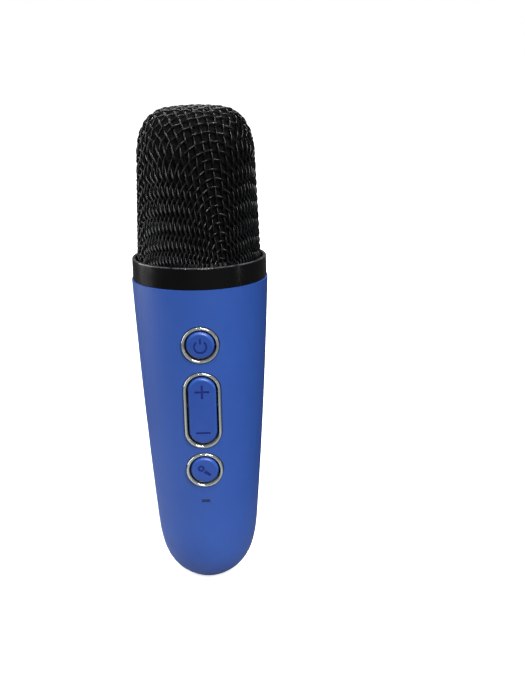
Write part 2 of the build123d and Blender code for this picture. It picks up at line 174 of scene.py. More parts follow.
def hangLight(name, light, side, height, away):
    side, height = math.radians(side), math.radians(height)
    out = Vector((math.sin(side) * math.cos(height), -math.cos(side) * math.cos(height), math.sin(height)))
    lamp = bpy.data.objects.new(name, light)
    turn = out.to_track_quat("Z", "Y").to_matrix().to_4x4()
    lamp.matrix_world = Matrix.Translation(Vector(studio["aim"]) + out * away) @ turn
    bpy.context.scene.collection.objects.link(lamp)


def lightScene():
    # the backdrop is white to the camera, and dim to the object, so that black parts stay black
    world = bpy.data.worlds.new("studio")
    bpy.context.scene.world = world
    world.use_nodes = True
    tree = world.node_tree
    seen = tree.nodes["Background"]
    fill = tree.nodes.new("ShaderNodeBackground")
    for background, strength in ((seen, studio["backdrop"]), (fill, studio["fill"])):
        background.inputs["Color"].default_value = (1, 1, 1, 1)
        background.inputs["Strength"].default_value = strength
    path = tree.nodes.new("ShaderNodeLightPath")
    mix = tree.nodes.new("ShaderNodeMixShader")
    tree.links.new(path.outputs["Is Camera Ray"], mix.inputs[0])
    tree.links.new(fill.outputs[0], mix.inputs[1])
    tree.links.new(seen.outputs[0], mix.inputs[2])
    tree.links.new(mix.outputs[0], tree.nodes["World Output"].inputs["Surface"])

    sun = bpy.data.lights.new("sun", "SUN")
    sun.energy = studio["sunPower"]
    sun.angle = math.radians(studio["sunSoftness"])
    hangLight("sun", sun, studio["sunSide"], studio["sunHeight"], 1.0)
    for name, box in softboxes.items():
        area = bpy.data.lights.new(name, "AREA")
        area.shape = "RECTANGLE"
        area.size, area.size_y = box["size"]
        area.energy = box["power"]
        hangLight(name, area, box["side"], box["height"], box["away"])


placeCamera()
lightScene()
bpy.context.scene.view_settings.view_transform = "Standard"
print("camera and lights placed")

rim, under = studio["floorRadius"], -studio["floorThick"]
disc = spun(np.array([0, 0.5, rim, rim, 0]), np.array([0, 0, 0, under, under]), 64)
floor = putMesh("floor", *disc, smooth=False)

wires = {
    "pitch": 2.5,  # mm between wires in the flat cloth
    "thickness": 0.54,
    "turn": 16.5,  # degrees from the front round to the wires that run straight down
    "twist": 0.22,  # degrees more for each millimetre further down, as the cloth was drawn a little askew
    "twistFrom": 20.0,  # mm from the pole
    "sides": 6,
    "perPitch": 7,  # points along a wire for each crossing
    "fewest": 12,  # points in the shortest wire that is kept
    "cutAbove": 0.3,  # mm over the head's foot
    "unevenness": 0.10,
    "evenPole": 10.0,  # mm over which the unevenness sets in
    "waves": ((0.71, 1.3, 0.43, 0.0), (0.67, 1.7, 0.39, 2.0)),  # its rate, bend, bend's rate and start, each way
}
drawn = {  # mm: how the flat cloth follows the cup
    "squareWidth": 6.1,  # cells stay square this far to each side of the straight-down wires
    "squareAt": 30.2,  # this far from the pole
    "narrowing": 0.23,  # and less further down
    "squareLimits": (1.9, 7.5),
    "squareCell": 1.08,
    "skew": 0.014,
    "skewFrom": 31.0,
    "domeEnd": 14.0,  # the top is cloth laid over a dome, which turns into drawn cloth over the next stretch
    "domeBlend": 15.0,
}


def acrossCloth(depth, arc, quarter):
    # how far from the straight-down wire, in flat cloth, a point of the drawn cup came from.
    # depth is the distance from the pole, arc the way round from that wire, and quarter the arc of a quarter turn.
    # Near the straight-down wire the cells stay square, then they shear into steep columns.
    edge = drawn["squareWidth"] - drawn["narrowing"] * (depth - drawn["squareAt"])
    edge = np.clip(edge, *drawn["squareLimits"])
    square = drawn["squareCell"]
    steep = (depth - square * edge) / (quarter - 2 * edge)
    sheared = (
        steep * arc
        - (steep - square) * edge * (1 - np.exp(-arc / edge))
        - steep * edge * (np.exp(-(quarter - arc) / edge) - np.exp(-quarter / edge))
        + drawn["skew"] * np.maximum(depth - drawn["skewFrom"], 0) * arc * (1 - arc / quarter)
    )
    whole = (
        steep * quarter
        - (steep - square) * edge * (1 - np.exp(-quarter / edge))
        - steep * edge * (1 - np.exp(-quarter / edge))
    )
    sheared = sheared * depth / whole
    flat = depth * np.sin(arc / quarter * np.pi / 2)
    t = np.clip((depth - drawn["domeEnd"]) / drawn["domeBlend"], 0, 1)
    share = t * t * (3 - 2 * t)
    return flat * (1 - share) + sheared * share


solver = {"rounds": 40, "nudge": 1e-4, "damping": 0.8, "depthStep": 1.5, "turnStep": 0.1}


def drawCloth(u, v, along, radius):
    # depth and angle on the cup for each flat point, found by Newton's method in the first quarter
    uu, vv = np.abs(u), np.abs(v)
    depth = np.maximum(np.hypot(uu, vv), 1e-3)
    turn = np.arctan2(vv, uu)

    def miss(depth, turn):
        quarter = np.interp(depth, along, radius) * np.pi / 2
        quarter = np.maximum(quarter, 1e-6)
        return (
            acrossCloth(depth, turn / (np.pi / 2) * quarter, quarter) - vv,
            acrossCloth(depth, (1 - turn / (np.pi / 2)) * quarter, quarter) - uu,
        )

    nudge, damping = solver["nudge"], solver["damping"]
    depthStep, turnStep = solver["depthStep"], solver["turnStep"]
    for _ in range(solver["rounds"]):
        a, b = miss(depth, turn)
        aDepth, bDepth = miss(depth + nudge, turn)
        aTurn, bTurn = miss(depth, turn + nudge)
        ad, bd, at, bt = (aDepth - a) / nudge, (bDepth - b) / nudge, (aTurn - a) / nudge, (bTurn - b) / nudge
        det = ad * bt - at * bd
        det = np.where(np.abs(det) < 1e-6, 1e-6, det)
        depth = depth - np.clip((a * bt - b * at) / det, -depthStep, depthStep) * damping
        turn = turn - np.clip((b * ad - a * bd) / det, -turnStep, turnStep) * damping
        depth = np.clip(depth, 1e-3, along[-1])
        turn = np.clip(turn, 0, np.pi / 2)
    a, b = miss(depth, turn)
    print("cloth drawn, largest miss", round(float(np.hypot(a, b).max()), 3), "mm")
    turn = np.where(u < 0, np.pi - turn, turn)
    return depth, np.where(v < 0, -turn, turn)


def wovenWires(name, swap):
    # every wire of one direction: its middle line on the cup, crimped over and under, with a round section
    thick = wires["thickness"] / 2
    along, radius, height = headOutline(thick * 2)
    pitch = wires["pitch"]
    reach = int(along[-1] / pitch)
    count = np.arange(-reach, reach + 1)
    run = np.arange(-reach * wires["perPitch"], reach * wires["perPitch"] + 1) * pitch / wires["perPitch"]
    u, v = np.meshgrid(run, count * pitch + 1e-4)
    wave = np.cos(np.pi * u / pitch) * np.where(count % 2 == 0, 1, -1)[:, None]
    flatU, flatV = (v, u) if swap else (u, v)
    wave = -wave if swap else wave
    # slow unevenness, the same for both directions, so that the crossings still meet
    wander = wires["unevenness"] * np.minimum(np.hypot(flatU, flatV) / wires["evenPole"], 1)

    def wobble(first, second, waves):
        rate, bend, bendRate, start = waves
        return wander * np.sin(first * rate + bend * np.sin(second * bendRate) + start)

    wobbleU = wobble(flatU, flatV, wires["waves"][0])
    wobbleV = wobble(flatV, flatU, wires["waves"][1])
    depth, turn = drawCloth(flatU + wobbleU, flatV + wobbleV, along, radius)
    twist = wires["twist"] * np.maximum(depth - wires["twistFrom"], 0)
    turn = turn + np.radians(wires["turn"] - 90.0 + twist)
    r, z = np.interp(depth, along, radius), np.interp(depth, along, height)
    step = 0.4  # mm each way, for the outline's slope
    slopeR = (np.interp(depth + step, along, radius) - np.interp(depth - step, along, radius)) / (2 * step)
    slopeZ = (np.interp(depth + step, along, height) - np.interp(depth - step, along, height)) / (2 * step)
    size = np.hypot(slopeR, slopeZ) + 1e-9
    out = np.stack([-slopeZ / size * np.cos(turn), -slopeZ / size * np.sin(turn), slopeR / size], -1)
    middle = np.stack([r * np.cos(turn), r * np.sin(turn), z], -1) + out * (wave * thick)[..., None]
    points, faces, crowns, base = [], [], [], 0
    spin = np.linspace(0, 2 * np.pi, wires["sides"], endpoint=False)
    for row in range(len(count)):
        inside = np.where(z[row] > head["footHeight"] + wires["cutAbove"])[0]
        if len(inside) < wires["fewest"]:
            continue
        keep = slice(inside[0], inside[-1] + 1)
        line, normal = middle[row, keep], out[row, keep]
        heading = np.gradient(line, axis=0)
        heading /= np.linalg.norm(heading, axis=1, keepdims=True)
        side = np.cross(heading, normal)
        side /= np.linalg.norm(side, axis=1, keepdims=True)
        up = np.cross(side, heading)
        ring = line[:, None] + thick * (np.cos(spin)[:, None] * up[:, None] + np.sin(spin)[:, None] * side[:, None])
        points.append(ring.reshape(-1, 3))
        crowns.append(np.repeat(wave[row, keep] * 0.5 + 0.5, wires["sides"]))
        quads = tubeFaces(len(line), wires["sides"]) + base
        faces += quads[:, ::-1].tolist()
        faces.append((np.arange(wires["sides"]) + base).tolist())
        faces.append((np.arange(wires["sides"])[::-1] + base + (len(line) - 1) * wires["sides"]).tolist())
        base += ring.size // 3
    piece = putMesh(name, np.vstack(points) * mm, faces)
    crown = piece.data.attributes.new("crown", "FLOAT", "POINT")
    crown.data.foreach_set("value", np.concatenate(crowns))
    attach(piece, handle)
    print(name, len(faces), "faces")
    return piece


warp = wovenWires("grille_warp_wires", False)
weft = wovenWires("grille_weft_wires", True)
for wire in (warp, weft):
    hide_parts("grille_mesh")
print("woven head made")

foam = {
    "inset": 1.35,  # mm inside the head's outline
    "foot": 102.6,
    "hollow": 12.6,  # radius of the hole for the capsule at the foot
    "hollowTop": 128.3,
    "hollowTaper": 0.07,
    "cell": 0.16,  # mm, how deep the open cells are
    "cellSize": 1.6,
    "rowStep": 0.45,
    "sides": 240,
    "middle": 115.0,  # height that the cells are pressed in towards
    "fill": 1.0,
}


def cellRelief(points, size):
    # shallow rounded cells: products of sines along six directions, folded so that the walls stand up
    directions = np.array([
        [1, 0.3, 0.2], [-0.2, 1, 0.4], [0.3, -0.4, 1],
        [0.8, 0.7, -0.5], [-0.7, 0.6, 0.8], [0.5, -0.9, 0.6],
    ])
    waves = np.sin(points @ directions.T * (2 * np.pi / size) + np.arange(6) * 1.7)
    return np.abs(waves[:, 0] * waves[:, 1] + waves[:, 2] * waves[:, 3] + waves[:, 4] * waves[:, 5]) / 1.5


def headFoam():
    # the head's outline moved inwards and turned back up inside as a hollow, with cells pressed into it
    along, radius, height = headOutline(foam["inset"])
    rows = np.arange(0, np.interp(-foam["foot"], -height, along), foam["rowStep"])
    r, z = np.interp(rows, along, radius), np.interp(rows, along, height)
    lip = np.linspace(r[-1], foam["hollow"], 8)[1:]
    up = np.linspace(foam["foot"], foam["hollowTop"], 30)[1:]
    inner = foam["hollow"] - foam["hollowTaper"] * (up - foam["foot"])
    close = np.linspace(inner[-1], 0, 12)[1:]
    r = np.concatenate([r, lip, inner, close])
    z = np.concatenate([z, np.full(len(lip), foam["foot"]), up, np.full(len(close), foam["hollowTop"])])
    points, faces = spun(r, z, foam["sides"])
    outward = points - np.array([0, 0, foam["middle"]])
    outward /= np.linalg.norm(outward, axis=1, keepdims=True) + 1e-9
    shell = np.hypot(points[:, 0], points[:, 1]) > foam["hollow"] + 1.0  # the hollow's wall stays plain
    shell |= points[:, 2] > foam["hollowTop"] + 1.0
    relief = foam["cell"] * cellRelief(points, foam["cellSize"])
    points = points - outward * (shell * relief)[:, None]
    piece = putMesh("windscreen_foam", points * mm, faces)
    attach(piece, handle)
    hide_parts("foam_windscreen")
    return piece


foamPiece = headFoam()

pad = {
    "rows": 60,
    "columns": 120,
    "clear": 0.03,  # mm kept free of its neighbours
    "sidePower": 0.25,  # powers of the sines: near 0 is a box, 1 is an ellipsoid
    "cornerPower": 0.35,
    "bellyPower": 0.55,
    "fill": 0.8,
}


def padCushion(node, name):
    # a thin foam strip: an ellipsoid whose sines and cosines are taken to small powers, which makes
    # it a rounded box with broad faces that belly out and draw in towards the edges
    low, high = (np.array(c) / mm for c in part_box(node))
    middle, half = (low + high) / 2, (high - low) / 2 - pad["clear"]
    a = np.linspace(0, 2 * np.pi, pad["columns"], endpoint=False)
    b = np.linspace(-np.pi / 2, np.pi / 2, pad["rows"])[1:-1]
    a, b = np.meshgrid(a, b)

    def squared(value, power):
        return np.sign(value) * np.abs(value) ** power

    thin = int(np.argmin(half))
    wide = [axis for axis in range(3) if axis != thin]
    body = np.zeros(a.shape + (3,))
    side = squared(np.cos(b), pad["sidePower"])
    body[..., wide[0]] = half[wide[0]] * side * squared(np.cos(a), pad["cornerPower"])
    body[..., wide[1]] = half[wide[1]] * side * squared(np.sin(a), pad["cornerPower"])
    body[..., thin] = half[thin] * squared(np.sin(b), pad["bellyPower"])
    points = (middle + body).reshape(-1, 3)
    ends = np.array([middle, middle])
    ends[0, thin] -= half[thin]
    ends[1, thin] += half[thin]
    rows, columns = a.shape
    faces = tubeFaces(rows, columns).tolist()
    faces += poleFans(columns, (rows - 1) * columns, len(points))
    piece = putMesh(name, np.vstack([points, ends]) * mm, faces)
    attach(piece, handle)
    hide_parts(node)
    return piece


padPiece = padCushion("battery_pad", "battery_cushion")
print("foam windscreen and battery cushion made")


def group(name, inputs, outputs):
    tree = bpy.data.node_groups.new(name, "ShaderNodeTree")
    for label, value in inputs.items():
        socket = tree.interface.new_socket(label, in_out="INPUT", socket_type="NodeSocketFloat")
        socket.default_value = value
    for label in outputs:
        tree.interface.new_socket(label, in_out="OUTPUT", socket_type="NodeSocketFloat")
    return tree, tree.nodes.new("NodeGroupInput"), tree.nodes.new("NodeGroupOutput")


def connect(tree, socket, value):
    # a value goes straight on the socket, and anything else is a link
    if isinstance(value, (int, float, tuple)):
        socket.default_value = value
    elif value is not None:
        tree.links.new(value, socket)


def calc(tree, operation, first, second=0.0):
    node = tree.nodes.new("ShaderNodeMath")
    node.operation = operation
    for socket, value in zip(node.inputs, (first, second)):
        connect(tree, socket, value)
    return node.outputs[0]


def ramp(tree, value, fromLow, fromHigh, toLow=0.0, toHigh=1.0):
    node = tree.nodes.new("ShaderNodeMapRange")
    for socket, item in zip(node.inputs, (value, fromLow, fromHigh, toLow, toHigh)):
        connect(tree, socket, item)
    return node.outputs[0]


def noise(tree, vector, scale, detail=2.0, roughness=0.5):
    node = tree.nodes.new("ShaderNodeTexNoise")
    connect(tree, node.inputs["Vector"], vector)
    connect(tree, node.inputs["Scale"], scale)
    connect(tree, node.inputs["Detail"], detail)
    connect(tree, node.inputs["Roughness"], roughness)
    return node.outputs[0]


def blendColour(tree, factor, first, second):
    node = tree.nodes.new("ShaderNodeMix")
    node.data_type = "RGBA"
    connect(tree, node.inputs["Factor"], factor)
    connect(tree, node.inputs["A"], first if hasattr(first, "node") else (*first, 1.0))
    connect(tree, node.inputs["B"], second if hasattr(second, "node") else (*second, 1.0))
    return node.outputs["Result"]


def objectPlace(tree):
    return tree.nodes.new("ShaderNodeTexCoord").outputs["Object"]


def axes(tree, vector):
    node = tree.nodes.new("ShaderNodeSeparateXYZ")
    connect(tree, node.inputs[0], vector)
    return node.outputs[0], node.outputs[1], node.outputs[2]


def makeFinishGroup():
    # slow tone changes, handling smudges, fine grain and a few hair scratches, all in metres over the object
    tree, given, result = group(
        "mouldedFinish",
        {"Tone Scale": 60.0, "Grain Scale": 2600.0, "Scratch Scale": 240.0},
        ("Tone", "Smudge", "Grain", "Scratch"),
    )
    place = objectPlace(tree)
    tone = noise(tree, place, given.outputs["Tone Scale"], 4.0, 0.6)
    smudge = noise(tree, place, calc(tree, "MULTIPLY", given.outputs["Tone Scale"], 2.7), 5.0, 0.62)
    fine = noise(tree, place, given.outputs["Grain Scale"], 2.0, 0.55)
    stretch = tree.nodes.new("ShaderNodeMapping")
    stretch.inputs["Rotation"].default_value = (0.5, 0.3, 0.9)
    stretch.inputs["Scale"].default_value = (1.0, 14.0, 1.0)
    connect(tree, stretch.inputs["Vector"], place)
    hair = noise(tree, stretch.outputs[0], given.outputs["Scratch Scale"], 1.0, 0.4)
    line = ramp(tree, calc(tree, "ABSOLUTE", calc(tree, "SUBTRACT", hair, 0.5)), 0.0, 0.006, 1.0, 0.0)
    patch = ramp(tree, noise(tree, place, 90.0, 1.0), 0.56, 0.66)
    tree.links.new(ramp(tree, tone, 0.3, 0.7), result.inputs["Tone"])
    tree.links.new(ramp(tree, smudge, 0.35, 0.68), result.inputs["Smudge"])
    tree.links.new(fine, result.inputs["Grain"])
    tree.links.new(calc(tree, "MULTIPLY", line, patch), result.inputs["Scratch"])
    return tree


finishGroup = makeFinishGroup()

finishes = {
    # dark and light: linear colours; rough: from smooth to smudged; grain: scale per metre and height in mm
    "handleShell": {
        "dark": (0.019, 0.071, 0.320), "light": (0.023, 0.081, 0.356),
        "rough": (0.44, 0.54), "grain": (2600.0, 0.016),
    },
    "capBlue": {
        "dark": (0.016, 0.060, 0.290), "light": (0.019, 0.069, 0.325),
        "rough": (0.30, 0.40), "grain": (3400.0, 0.006),
    },
    "brightRing": {
        "dark": (0.50, 0.53, 0.47), "light": (0.62, 0.65, 0.58),
        "rough": (0.06, 0.13), "grain": (5200.0, 0.001), "metallic": 0.75,
    },
    "collarGloss": {
        "dark": (0.0016, 0.0017, 0.0020), "light": (0.0026, 0.0028, 0.0032),
        "rough": (0.13, 0.22), "grain": (3800.0, 0.003), "specular": 0.36, "coat": 0.12,
    },
    "wireEnamel": {
        "dark": (0.0012, 0.0014, 0.0015), "light": (0.003, 0.0035, 0.0037),
        "rough": (0.22, 0.32), "grain": (6000.0, 0.003), "specular": 0.25,
    },
    "foamBlack": {
        "dark": (0.0008, 0.0009, 0.001), "light": (0.0025, 0.0027, 0.003),
        "rough": (0.92, 1.0), "specular": 0.15, "grain": (1500.0, 0.16),
    },
    "platedSteel": {
        "dark": (0.42, 0.42, 0.41), "light": (0.60, 0.60, 0.59),
        "rough": (0.24, 0.44), "grain": (4000.0, 0.006), "metallic": 1.0,
    },
    "bootRubber": {
        "dark": (0.010, 0.010, 0.010), "light": (0.018, 0.018, 0.019),
        "rough": (0.62, 0.82), "grain": (2200.0, 0.014),
    },
    "innerPlastic": {
        "dark": (0.012, 0.012, 0.014), "light": (0.022, 0.022, 0.025),
        "rough": (0.42, 0.60), "grain": (2400.0, 0.014),
    },
    "boardGreen": {
        "dark": (0.006, 0.070, 0.026), "light": (0.010, 0.105, 0.040),
        "rough": (0.28, 0.42), "grain": (3000.0, 0.006), "coat": 0.15,
    },
    "capsuleMetal": {
        "dark": (0.52, 0.52, 0.53), "light": (0.68, 0.68, 0.69),
        "rough": (0.20, 0.36), "grain": (4200.0, 0.004), "metallic": 1.0,
    },
    "cellWrap": {
        "dark": (0.012, 0.11, 0.40), "light": (0.018, 0.15, 0.50),
        "rough": (0.18, 0.30), "grain": (1800.0, 0.008), "coat": 0.3,
    },
    "leadJacket": {
        "dark": (0.30, 0.012, 0.012), "light": (0.42, 0.02, 0.018),
        "rough": (0.40, 0.55), "grain": (3000.0, 0.008),
    },
    "lampGuide": {
        "dark": (0.004, 0.010, 0.060), "light": (0.006, 0.018, 0.085),
        "rough": (0.14, 0.26), "grain": (3000.0, 0.002), "coat": 0.3,
    },
    "lampResin": {
        "dark": (0.72, 0.70, 0.52), "light": (0.85, 0.84, 0.74),
        "rough": (0.20, 0.34), "grain": (2600.0, 0.004), "coat": 0.2,
    },
    "plugNylon": {
        "dark": (0.66, 0.65, 0.58), "light": (0.78, 0.77, 0.70),
        "rough": (0.38, 0.52), "grain": (2600.0, 0.010),
    },
}


scratchRough = 0.12  # how much rougher a scratch is
coatRough = 0.12


def finish(name, tone=60.0, extra=None):
    # one finish from its row of values; extra adds its own marks to the colour, roughness and height
    values = finishes[name]
    material = bpy.data.materials.new(name)
    material.use_nodes = True
    tree = material.node_tree
    shader = tree.nodes["Principled BSDF"]
    detail = tree.nodes.new("ShaderNodeGroup")
    detail.node_tree = finishGroup
    detail.inputs["Tone Scale"].default_value = tone
    detail.inputs["Grain Scale"].default_value = values["grain"][0]
    colour = blendColour(tree, detail.outputs["Tone"], values["dark"], values["light"])
    rough = ramp(tree, detail.outputs["Smudge"], 0.0, 1.0, *values["rough"])
    rough = calc(tree, "ADD", rough, calc(tree, "MULTIPLY", detail.outputs["Scratch"], scratchRough))
    height = calc(tree, "MULTIPLY", detail.outputs["Grain"], values["grain"][1] * mm)
    if extra:
        colour, rough, height = extra(tree, shader, colour, rough, height)
    bump = tree.nodes.new("ShaderNodeBump")
    bump.inputs["Distance"].default_value = 1.0
    bump.inputs["Strength"].default_value = 1.0
    tree.links.new(height, bump.inputs["Height"])
    tree.links.new(bump.outputs[0], shader.inputs["Normal"])
    tree.links.new(colour, shader.inputs["Base Color"])
    tree.links.new(rough, shader.inputs["Roughness"])
    shader.inputs["Metallic"].default_value = values.get("metallic", 0.0)
    shader.inputs["Coat Weight"].default_value = values.get("coat", 0.0)
    shader.inputs["Specular IOR Level"].default_value = values.get("specular", 0.5)
    shader.inputs["Coat Roughness"].default_value = coatRough
    return material


def voronoi(tree, scale, spread=1.0, distance="EUCLIDEAN", feature="F1"):
    # distance to the nearest of scattered points, or with DISTANCE_TO_EDGE to the line between two cells
    node = tree.nodes.new("ShaderNodeTexVoronoi")
    node.distance = distance
    node.feature = feature
    connect(tree, node.inputs["Scale"], scale)
    connect(tree, node.inputs["Randomness"], spread)
    connect(tree, node.inputs["Vector"], objectPlace(tree))
    return node.outputs["Distance"]


def nearPlane(tree, value, centre, width):
    # 1 on the plane where value is centre, falling to 0 at width from it
    away = calc(tree, "ABSOLUTE", calc(tree, "SUBTRACT", value, centre))
    return ramp(tree, away, 0.0, width, 1.0, 0.0)


def raised(tree, height, pattern, amount):
    # adds a pattern to the height, amount mm tall
    return calc(tree, "ADD", height, calc(tree, "MULTIPLY", pattern, amount * mm))


shellJoin = {"wide": 0.16, "deep": -0.10, "shade": 0.7, "colour": (0.008, 0.018, 0.07)}  # mm
shellFoot = {
    "from": 0.9,  # mm above the floor
    "full": 0.1,
    "scale": 900.0,
    "patches": (0.42, 0.62),
    "shade": 0.35,
    "colour": (0.10, 0.16, 0.40),
    "rougher": 0.2,
}


def shellMarks(tree, shader, colour, rough, height):
    # the join between the two shells is a hair groove at Y = 0, and the foot is scuffed where it stands
    _, y, z = axes(tree, objectPlace(tree))
    join = nearPlane(tree, y, 0.0, shellJoin["wide"] * mm)
    foot = ramp(tree, z, shellFoot["from"] * mm, shellFoot["full"] * mm, 0.0, 1.0)
    patches = ramp(tree, noise(tree, objectPlace(tree), shellFoot["scale"], 4.0), *shellFoot["patches"])
    rub = calc(tree, "MULTIPLY", foot, patches)
    colour = blendColour(tree, calc(tree, "MULTIPLY", join, shellJoin["shade"]), colour, shellJoin["colour"])
    colour = blendColour(tree, calc(tree, "MULTIPLY", rub, shellFoot["shade"]), colour, shellFoot["colour"])
    rough = calc(tree, "ADD", rough, calc(tree, "MULTIPLY", rub, shellFoot["rougher"]))
    return colour, rough, raised(tree, height, join, shellJoin["deep"])


panel = {"tilt": 3.27, "place": (0.0, -18.24, 59.5)}  # degrees and mm: the button panel's plane, as the CAD has it
caps = {
    "power_button": {"up": 20.0, "half": 0.0},
    "volume_rocker": {"up": 0.0, "half": 6.15},
    "voice_button": {"up": -18.8, "half": 0.0},
}
engraving = {
    "top": 0.5,  # mm above the panel, the cap's flat face
    "fade": (0.02, 0.06),  # mm below that face, over which the paint sets in
    "reach": 3.0,  # mm from the cap's middle
    "softness": 0.05,
    "colour": (0.0005, 0.010, 0.158),
    "rougher": 0.2,
}
# painted highlight: the cap's rounded edge is coloured paler blue all round
capBevelHighlight = {"from": 3.3, "full": 4.0, "shade": 0.35, "colour": (0.06, 0.16, 0.58)}  # mm from the cap's middle


def capMarks(name):
    def marks(tree, shader, colour, rough, height):
        # engraved symbols are painted dark: whatever lies below the cap's flat face, inside its rounded edge; the
        # rounded edge gets a paler painted highlight
        turn = math.radians(panel["tilt"])
        outward = Vector((0.0, -math.cos(turn), -math.sin(turn)))
        upward = Vector((0.0, -math.sin(turn), math.cos(turn)))
        place = Vector(panel["place"])
        x, y, z = axes(tree, objectPlace(tree))

        def along(direction, offset):
            total = calc(tree, "ADD", calc(tree, "MULTIPLY", y, direction.y), calc(tree, "MULTIPLY", z, direction.z))
            return calc(tree, "SUBTRACT", total, (direction.dot(place) + offset) * mm)

        depth = along(outward, 0.0)
        up = calc(tree, "ABSOLUTE", along(upward, caps[name]["up"]))
        up = calc(tree, "MAXIMUM", calc(tree, "SUBTRACT", up, caps[name]["half"] * mm), 0.0)
        reach = calc(tree, "SQRT", calc(tree, "ADD", calc(tree, "MULTIPLY", x, x), calc(tree, "MULTIPLY", up, up)))
        limit = engraving["reach"]
        inside = ramp(tree, reach, limit * mm, (limit + engraving["softness"]) * mm, 1.0, 0.0)
        start, full = (engraving["top"] - fade for fade in engraving["fade"])
        below = ramp(tree, depth, start * mm, full * mm)
        paint = calc(tree, "MULTIPLY", inside, below)
        # painted highlight: paler blue on the cap's rounded edge
        edge = ramp(tree, reach, capBevelHighlight["from"] * mm, capBevelHighlight["full"] * mm)
        colour = blendColour(tree, calc(tree, "MULTIPLY", edge, capBevelHighlight["shade"]), colour, capBevelHighlight["colour"])
        colour = blendColour(tree, paint, colour, engraving["colour"])
        return colour, calc(tree, "ADD", rough, calc(tree, "MULTIPLY", paint, engraving["rougher"])), height

    return marks


# wear and painted highlight: raised wire crests are made paler and smoother
wireRubAndHighlight = {
    "crown": (0.55, 1.0),
    "scale": 420.0,
    "patches": (0.40, 0.62),
    "shade": 0.6,
    "colour": (0.022, 0.025, 0.026),
    "smoother": 0.08,
}


def wireMarks(tree, shader, colour, rough, height):
    # the enamel is rubbed thinner and shinier where a wire crosses over, and coloured paler there as a painted
    # highlight on the raised crests
    crown = tree.nodes.new("ShaderNodeAttribute")
    crown.attribute_name = "crown"
    over = ramp(tree, crown.outputs["Fac"], *wireRubAndHighlight["crown"])
    patches = ramp(tree, noise(tree, objectPlace(tree), wireRubAndHighlight["scale"], 3.0), *wireRubAndHighlight["patches"])
    rubbedAndHighlit = calc(tree, "MULTIPLY", over, patches)
    colour = blendColour(tree, calc(tree, "MULTIPLY", rubbedAndHighlit, wireRubAndHighlight["shade"]), colour, wireRubAndHighlight["colour"])
    return colour, calc(tree, "SUBTRACT", rough, calc(tree, "MULTIPLY", rubbedAndHighlit, wireRubAndHighlight["smoother"])), height


# the colour is painted shade in the pits of the foam's cells
foamCells = {"scale": 1300.0, "pit": (0.15, 0.5), "colour": (0.0008, 0.0009, 0.001), "tall": 0.12}


def foamMarks(tree, shader, colour, rough, height):
    # open cells: painted shade darkens the pits between the paler walls
    pit = ramp(tree, voronoi(tree, foamCells["scale"]), *foamCells["pit"])
    colour = blendColour(tree, pit, foamCells["colour"], colour)
    return colour, rough, raised(tree, height, pit, foamCells["tall"])


boardTracks = {"scale": 260.0, "wide": (0.05, 0.09), "shade": 0.55, "colour": (0.03, 0.20, 0.07), "tall": 0.02}
boardPads = {"scale": 330.0, "spread": 0.55, "wide": (0.10, 0.13), "colour": (0.62, 0.60, 0.52)}


def boardMarks(tree, shader, colour, rough, height):
    # copper runs under the green: stepped cells make straight tracks, and round pads are left bare and tinned
    cells = voronoi(tree, boardTracks["scale"], distance="CHEBYCHEV", feature="DISTANCE_TO_EDGE")
    track = ramp(tree, cells, *boardTracks["wide"], 1.0, 0.0)
    dots = voronoi(tree, boardPads["scale"], boardPads["spread"])
    bare = ramp(tree, dots, *boardPads["wide"], 1.0, 0.0)
    colour = blendColour(tree, calc(tree, "MULTIPLY", track, boardTracks["shade"]), colour, boardTracks["colour"])
    colour = blendColour(tree, bare, colour, boardPads["colour"])
    tree.links.new(bare, shader.inputs["Metallic"])
    return colour, rough, raised(tree, height, track, boardTracks["tall"])


capsuleRings = {"pitch": 0.18, "tall": 0.0015, "rougher": 0.04}  # mm
# the holes' colour is painted shade: dark dots with no hole in the mesh
capsuleHoles = {"scale": 620.0, "wide": (0.24, 0.28), "reach": (3.2, 3.3), "colour": (0.004, 0.004, 0.004)}


def capsuleMarks(tree, shader, colour, rough, height):
    # turned rings on the can, a sine of the radius, and the small sound holes in its face, painted dark as shade
    x, y, z = axes(tree, objectPlace(tree))
    radius = calc(tree, "SQRT", calc(tree, "ADD", calc(tree, "MULTIPLY", x, x), calc(tree, "MULTIPLY", y, y)))
    ring = calc(tree, "SINE", calc(tree, "MULTIPLY", radius, 2 * math.pi / (capsuleRings["pitch"] * mm)))
    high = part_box("mic_capsule")[1].z
    face = ramp(tree, z, high - 0.05 * mm, high - 0.01 * mm)
    dots = voronoi(tree, capsuleHoles["scale"], 0.0)
    hole = calc(tree, "MULTIPLY", ramp(tree, dots, *capsuleHoles["wide"], 1.0, 0.0), face)
    near, far = capsuleHoles["reach"]
    hole = calc(tree, "MULTIPLY", hole, ramp(tree, radius, near * mm, far * mm, 1.0, 0.0))
    colour = blendColour(tree, hole, colour, capsuleHoles["colour"])
    rough = calc(tree, "ADD", rough, calc(tree, "MULTIPLY", ring, capsuleRings["rougher"]))
    return colour, rough, raised(tree, height, ring, capsuleRings["tall"])


sleeve = {  # mm
    "bareEnd": (0.9, 0.8),
    "wrinkledEnd": (5.0, 1.0),
    "wrinkleScale": 700.0,
    "wrinkleTall": 0.12,
    "seamWide": 0.35,
    "seamShade": 0.5,
    "seamColour": (0.03, 0.25, 0.72),
    "steel": (0.55, 0.55, 0.55),
}


